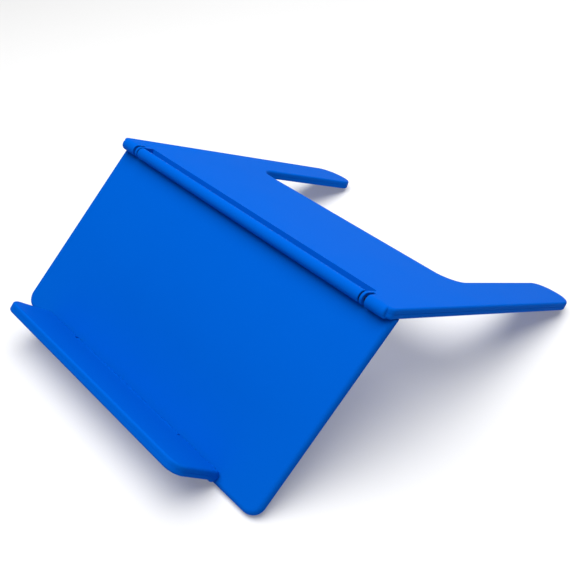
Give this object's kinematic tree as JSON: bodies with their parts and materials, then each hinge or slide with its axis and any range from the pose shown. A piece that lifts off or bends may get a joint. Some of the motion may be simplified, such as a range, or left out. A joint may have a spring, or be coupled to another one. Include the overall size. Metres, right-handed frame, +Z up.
{
  "type": "shirt folding board",
  "caption": "Hinged plastic board standing as an A-frame: a wide main panel with a narrow folding ledge along its foot, and a forked rear leaf that folds flat over it.",
  "frame": {"origin": "on the table, under the centre of the standing board's bounding box", "axes": "+X to the right along the hinges, +Y to the back, +Z up; the panel and ledge face -Y"},
  "size_m": [0.24, 0.3098, 0.0952],
  "materials": {
    "panel_plastic": "satin moulded blue",
    "rod_steel": "blackened",
    "friction_rubber": "matte dark"
  },
  "bodies": {
    "panel": {"main_panel": "panel_plastic", "top_hinge_rod": "rod_steel", "top_hinge_washer_left": "friction_rubber", "top_hinge_washer_right": "friction_rubber", "ledge_hinge_rod": "rod_steel", "ledge_hinge_washer_left": "friction_rubber", "ledge_hinge_washer_right": "friction_rubber"},
    "leaf": {"rear_leaf": "panel_plastic", "top_rod_plug_left": "panel_plastic", "top_rod_plug_right": "panel_plastic"},
    "ledge": {"ledge": "panel_plastic", "ledge_rod_plug_left": "panel_plastic", "ledge_rod_plug_right": "panel_plastic"}
  },
  "joints": [
    {"name": "leaf_fold", "type": "hinge", "parent": "panel", "child": "leaf", "pos_m": [0, -0.04041, 0.09164], "axis": [1, 0, 0], "range_deg": [0, 247.6]},
    {"name": "ledge_fold", "type": "hinge", "parent": "panel", "child": "ledge", "pos_m": [0, -0.12933, 0.00929], "axis": [1, 0, 0], "range_deg": [0, 85.3]}
  ]
}
